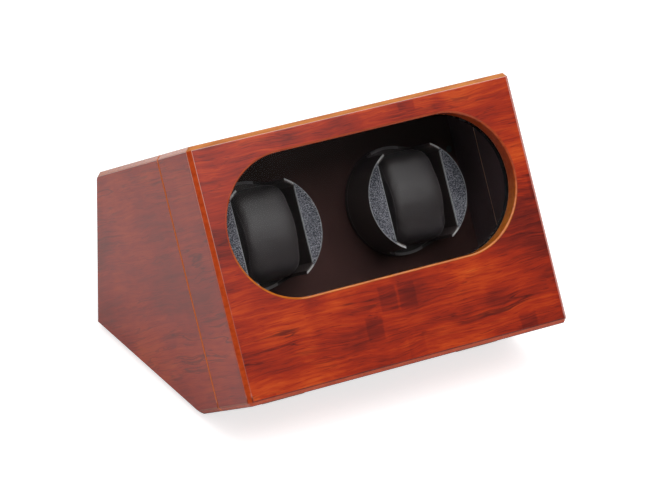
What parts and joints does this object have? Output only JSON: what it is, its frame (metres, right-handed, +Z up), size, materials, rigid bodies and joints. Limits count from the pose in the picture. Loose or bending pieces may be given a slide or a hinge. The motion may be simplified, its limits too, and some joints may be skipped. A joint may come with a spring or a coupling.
{
  "type": "watch winder",
  "caption": "Wooden watch winder with a leaning front, a drop-front lid with a long round-ended window, and motor-driven turntables that hold watch pillows.",
  "frame": {"origin": "on the table under the middle of the case's bounding box, at the bottom of the foot pads", "axes": "+X to the viewer's right, -Y out of the front towards the viewer, +Z up"},
  "size_m": [0.31, 0.27, 0.2395],
  "materials": {
    "veneer": "gloss lacquer over figured veneer",
    "plain_wood": "raw",
    "black_board": "black felt on board",
    "lining": "black flock",
    "pane": "clear",
    "liner": "gloss black",
    "cup_shell": "matte black",
    "suede": "grey suede",
    "pillow": "smooth black",
    "brass": "polished",
    "steel": "brushed",
    "magnet": "nickel plated",
    "gear": "moulded",
    "motor_can": "satin",
    "control_plastic": "matte black",
    "switch_plastic": "gloss black",
    "board": "green solder mask",
    "lead": "insulated",
    "foot": "soft"
  },
  "bodies": {
    "case": {"left_side_panel": "veneer", "right_side_panel": "veneer", "top_panel": "veneer", "back_panel": "veneer", "base_panel": "veneer", "lower_front_panel": "veneer", "deck_cleats": "plain_wood", "deck": "black_board", "case_lining": "lining", "case_hinge_leaves": "brass", "hinge_pins": "brass", "case_hinge_screws": "brass", "deck_bushes": "brass", "plate_bushes": "brass", "deck_screws": "steel", "gearbox_screws": "steel", "control_plate_screws": "steel", "plate_spacers": "steel", "left_motor_plate": "steel", "right_motor_plate": "steel", "left_gearbox": "steel", "right_gearbox": "steel", "case_magnets": "magnet", "left_motor": "motor_can", "right_motor": "motor_can", "control_plate": "control_plastic", "power_jack": "control_plastic", "mode_switch_bodies": "control_plastic", "power_switch_body": "switch_plastic", "control_board": "board", "motor_leads": "lead", "feet": "foot"},
    "lid": {"lid_left_rail": "veneer", "lid_right_rail": "veneer", "lid_top_rail": "veneer", "lid_bottom_rail": "veneer", "front_panel": "veneer", "window_pane": "pane", "window_liner": "liner", "lid_lining": "lining", "lid_magnets": "magnet", "lid_hinge_leaves": "brass", "lid_hinge_screws": "brass"},
    "left_turntable": {"left_cup": "cup_shell", "left_cup_suede": "suede", "left_driven_gear": "gear", "left_turntable_shaft": "steel", "left_shaft_clip": "steel"},
    "left_pillow_body": {"left_pillow": "pillow"},
    "left_pinion_body": {"left_pinion": "brass"},
    "left_selector": {"left_mode_slider": "switch_plastic"},
    "right_turntable": {"right_cup": "cup_shell", "right_cup_suede": "suede", "right_driven_gear": "gear", "right_turntable_shaft": "steel", "right_shaft_clip": "steel"},
    "right_pillow_body": {"right_pillow": "pillow"},
    "right_pinion_body": {"right_pinion": "brass"},
    "right_selector": {"right_mode_slider": "switch_plastic"},
    "rocker": {"power_rocker": "switch_plastic"}
  },
  "joints": [
    {"name": "lid_hinge", "type": "hinge", "parent": "case", "child": "lid", "pos_m": [0, -0.08535, 0.02163], "axis": [1, 0, 0], "range_deg": [0, 52]},
    {"name": "left_turntable_spin", "type": "hinge", "parent": "case", "child": "left_turntable", "pos_m": [-0.0715, -0.02304, 0.14155], "axis": [0, -0.866, 0.5], "continuous": true},
    {"name": "left_pillow_slide", "type": "slide", "parent": "left_turntable", "child": "left_pillow_body", "axis": [0, -0.866, 0.5], "range_m": [0, 0.03]},
    {"name": "left_pinion_spin", "type": "hinge", "parent": "case", "child": "left_pinion_body", "pos_m": [-0.0715, 0.00719, 0.07791], "axis": [0, -0.866, 0.5], "continuous": true},
    {"name": "left_selector_slide", "type": "slide", "parent": "case", "child": "left_selector", "axis": [-1, 0, 0], "range_m": [0, 0.006]},
    {"name": "right_turntable_spin", "type": "hinge", "parent": "case", "child": "right_turntable", "pos_m": [0.0715, -0.02304, 0.14155], "axis": [0, -0.866, 0.5], "continuous": true},
    {"name": "right_pillow_slide", "type": "slide", "parent": "right_turntable", "child": "right_pillow_body", "axis": [0, -0.866, 0.5], "range_m": [0, 0.03]},
    {"name": "right_pinion_spin", "type": "hinge", "parent": "case", "child": "right_pinion_body", "pos_m": [0.0715, 0.00719, 0.07791], "axis": [0, -0.866, 0.5], "continuous": true},
    {"name": "right_selector_slide", "type": "slide", "parent": "case", "child": "right_selector", "axis": [-1, 0, 0], "range_m": [0, 0.006]},
    {"name": "power_rocker_tilt", "type": "hinge", "parent": "case", "child": "rocker", "pos_m": [-0.039, 0.13001, 0.064], "axis": [0, 0, -1], "range_deg": [0, 16]}
  ],
  "couplings": [
    {"joint": "left_pinion_spin", "follows": "left_turntable_spin", "ratio": -3},
    {"joint": "right_pinion_spin", "follows": "right_turntable_spin", "ratio": -3}
  ]
}
